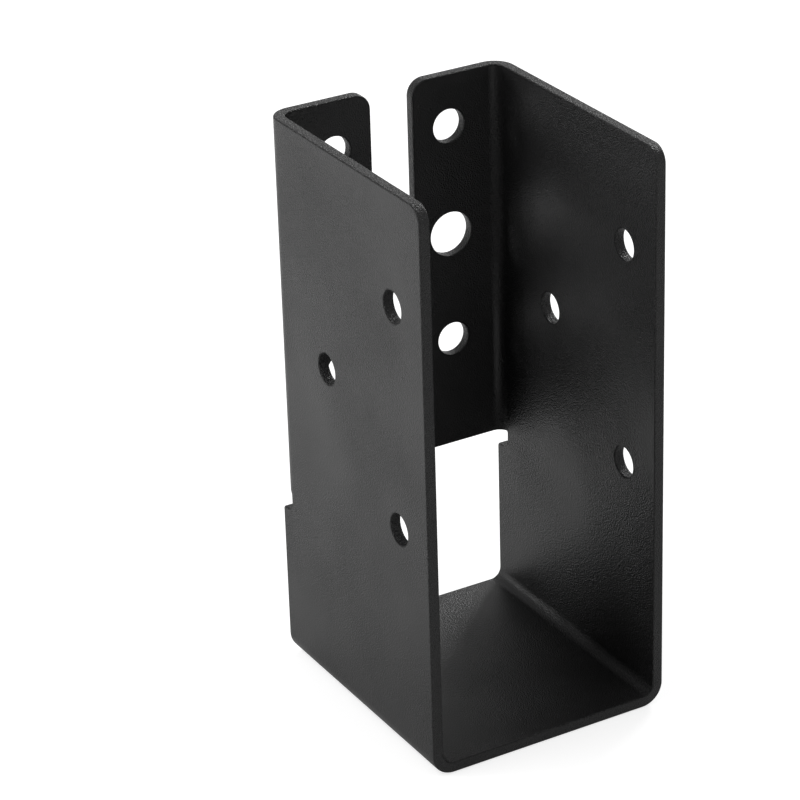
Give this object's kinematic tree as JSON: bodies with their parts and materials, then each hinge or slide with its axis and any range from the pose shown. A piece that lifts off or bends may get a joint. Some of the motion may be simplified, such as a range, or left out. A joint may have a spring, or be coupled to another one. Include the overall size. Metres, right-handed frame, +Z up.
{
  "type": "beam hanger",
  "caption": "Folded steel hanger with a U-shaped seat, screw holes in its sides and two inward back flanges, to carry a beam's end on a header.",
  "frame": {"origin": "middle of the underside, half way between the sides and half way from the front edge to the flanges' backs", "axes": "+X to the right seen from the open front, +Y from the open front to the flanges' backs, +Z up from the seat"},
  "size_m": [0.046, 0.05, 0.103],
  "materials": {
    "powder_coat": "satin black powder coat with a fine texture"
  },
  "bodies": {
    "root": {"hanger": "powder_coat"}
  },
  "joints": []
}
